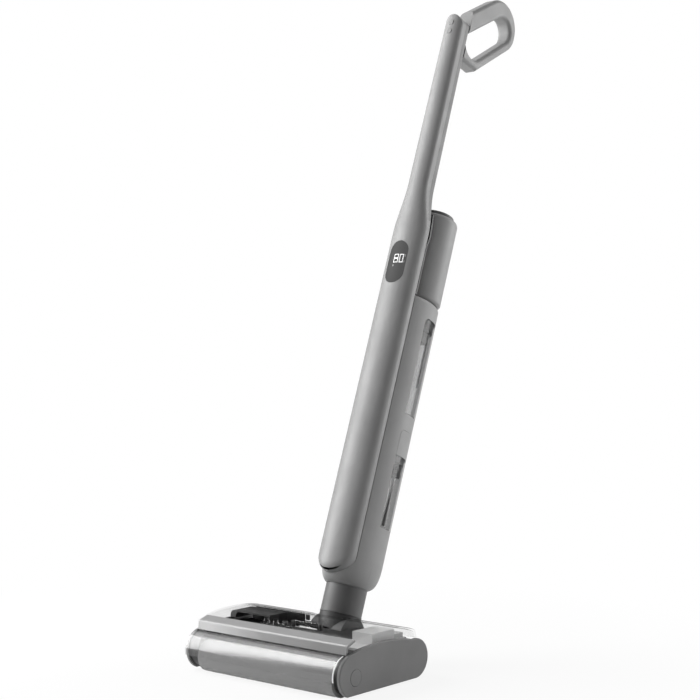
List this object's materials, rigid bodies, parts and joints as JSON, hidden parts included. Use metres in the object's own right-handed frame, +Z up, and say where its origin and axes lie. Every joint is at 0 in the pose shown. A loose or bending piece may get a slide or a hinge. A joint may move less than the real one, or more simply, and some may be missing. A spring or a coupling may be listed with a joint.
{
  "type": "wet dry floor scrubber",
  "caption": "Cordless wet and dry floor scrubber: low roller head under a clear cover, reclining neck, long grey body with two clear tanks and a slanted loop handle",
  "frame": {"origin": "middle of the floor wiper's flat contact face, on the floor under the roller head", "axes": "+Z up, -Y to the front where the roller is, +X to the side of the roller release button; the body leans back at rest"},
  "size_m": [0.2903, 0.6208, 1.0429],
  "materials": {
    "body_grey": "satin",
    "housing_grey": "satin",
    "bar_grey": "satin",
    "dark_plastic": "matte",
    "clear_plastic": "clear, gloss",
    "tank_plastic": "smoked clear, gloss",
    "water_parts": "gloss",
    "microfibre": "short nap",
    "rubber": "matte",
    "tyre_rubber": "matte",
    "steel": "brushed",
    "brass": "bright",
    "display_glass": "gloss",
    "inner_plastic": "matte",
    "filter_felt": "felt"
  },
  "bodies": {
    "head": {"side_plate_right": "body_grey", "side_plate_left": "body_grey", "right_end_frame": "dark_plastic", "belt_case": "dark_plastic", "shaft_bushes": "brass", "drive_motor": "steel", "drive_belt": "rubber", "head_chassis": "dark_plastic", "base_screws": "steel", "charge_contacts": "brass", "floor_wiper": "rubber", "roller_scraper": "rubber", "suction_duct": "dark_plastic", "inner_deck": "dark_plastic", "spray_manifold": "water_parts", "circuit_box": "dark_plastic", "wheel_axles": "steel", "pivot_pins": "steel"},
    "lift_off_cover": {"top_cover": "clear_plastic", "cross_bar": "bar_grey", "roller_shield": "clear_plastic"},
    "roller": {"roller_core": "dark_plastic", "roller_sleeve": "microfibre", "roller_drive_hub": "dark_plastic", "roller_end_plug": "dark_plastic", "roller_pulley": "inner_plastic"},
    "drive_rotor": {"motor_pulley": "steel"},
    "roller_release": {"release_button": "bar_grey"},
    "left_wheel": {"wheel_left": "dark_plastic", "tyre_left": "tyre_rubber"},
    "right_wheel": {"wheel_right": "dark_plastic", "tyre_right": "tyre_rubber"},
    "tilt": {"tilt_yoke": "dark_plastic"},
    "upright": {"swivel_ring": "dark_plastic", "neck_tube": "dark_plastic", "rear_housing": "housing_grey", "spine_shell": "body_grey", "stick_back": "body_grey", "display_lens": "display_glass", "motor_pod": "housing_grey", "pod_cap": "dark_plastic", "suction_motor": "steel", "exhaust_filter": "filter_felt", "battery_pack": "inner_plastic", "control_board": "inner_plastic", "suction_pipe": "water_parts", "water_pump": "inner_plastic", "handle_loop": "body_grey"},
    "fan": {"fan_impeller": "inner_plastic"},
    "dirty_water_tank": {"dirty_tank": "tank_plastic", "dirty_tank_lid": "dark_plastic", "strainer": "dark_plastic", "level_probe": "dark_plastic"},
    "float": {"tank_float": "water_parts"},
    "clean_water_tank": {"clean_tank": "tank_plastic", "clean_tank_cap": "housing_grey", "pickup_tube": "water_parts"},
    "latch": {"tank_latch": "housing_grey"},
    "power_key": {"power_button": "dark_plastic"},
    "mode_key": {"mode_button": "dark_plastic"}
  },
  "joints": [
    {"name": "recline", "type": "hinge", "parent": "head", "child": "tilt", "pos_m": [0, 0.1128, 0.044], "axis": [-1, 0, 0], "range_deg": [-20, 50]},
    {"name": "neck_swivel", "type": "hinge", "parent": "tilt", "child": "upright", "pos_m": [0, 0.1258, 0.07971], "axis": [0, 0.342, 0.9397], "range_deg": [-40, 40]},
    {"name": "roller_spin", "type": "hinge", "parent": "head", "child": "roller", "pos_m": [0, -0.0275, 0.023], "axis": [1, 0, 0], "continuous": true},
    {"name": "drive_spin", "type": "hinge", "parent": "head", "child": "drive_rotor", "pos_m": [-0.12, 0.052, 0.031], "axis": [1, 0, 0], "continuous": true},
    {"name": "left_wheel_spin", "type": "hinge", "parent": "head", "child": "left_wheel", "pos_m": [-0.104, 0.108, 0.015], "axis": [1, 0, 0], "continuous": true},
    {"name": "right_wheel_spin", "type": "hinge", "parent": "head", "child": "right_wheel", "pos_m": [0.104, 0.108, 0.015], "axis": [1, 0, 0], "continuous": true},
    {"name": "cover_lift", "type": "slide", "parent": "head", "child": "lift_off_cover", "axis": [0, 0, 1], "range_m": [0, 0.03]},
    {"name": "release_press", "type": "slide", "parent": "head", "child": "roller_release", "axis": [-1, 0, 0], "range_m": [0, 0.0025], "stiffness_N_per_m": 600, "springref_m": -0.002},
    {"name": "fan_spin", "type": "hinge", "parent": "upright", "child": "fan", "pos_m": [0, 0.31031, 0.55741], "axis": [0, 0.342, 0.9397], "continuous": true},
    {"name": "dirty_tank_pull", "type": "slide", "parent": "upright", "child": "dirty_water_tank", "axis": [0, 0.9397, -0.342], "range_m": [0, 0.07]},
    {"name": "float_rise", "type": "slide", "parent": "dirty_water_tank", "child": "float", "axis": [0, 0.342, 0.9397], "range_m": [0, 0.035]},
    {"name": "clean_tank_pull", "type": "slide", "parent": "upright", "child": "clean_water_tank", "axis": [0, 0.9397, -0.342], "range_m": [0, 0.07]},
    {"name": "latch_press", "type": "slide", "parent": "clean_water_tank", "child": "latch", "axis": [0, -0.9397, 0.342], "range_m": [0, 0.003], "stiffness_N_per_m": 600, "springref_m": -0.002},
    {"name": "power_press", "type": "slide", "parent": "upright", "child": "power_key", "axis": [0, 0.9397, -0.342], "range_m": [0, 0.0015], "stiffness_N_per_m": 800, "springref_m": -0.001},
    {"name": "mode_press", "type": "slide", "parent": "upright", "child": "mode_key", "axis": [0, 0.9397, -0.342], "range_m": [0, 0.0015], "stiffness_N_per_m": 800, "springref_m": -0.001}
  ],
  "couplings": [
    {"joint": "drive_spin", "follows": "roller_spin", "ratio": 1.9167}
  ]
}
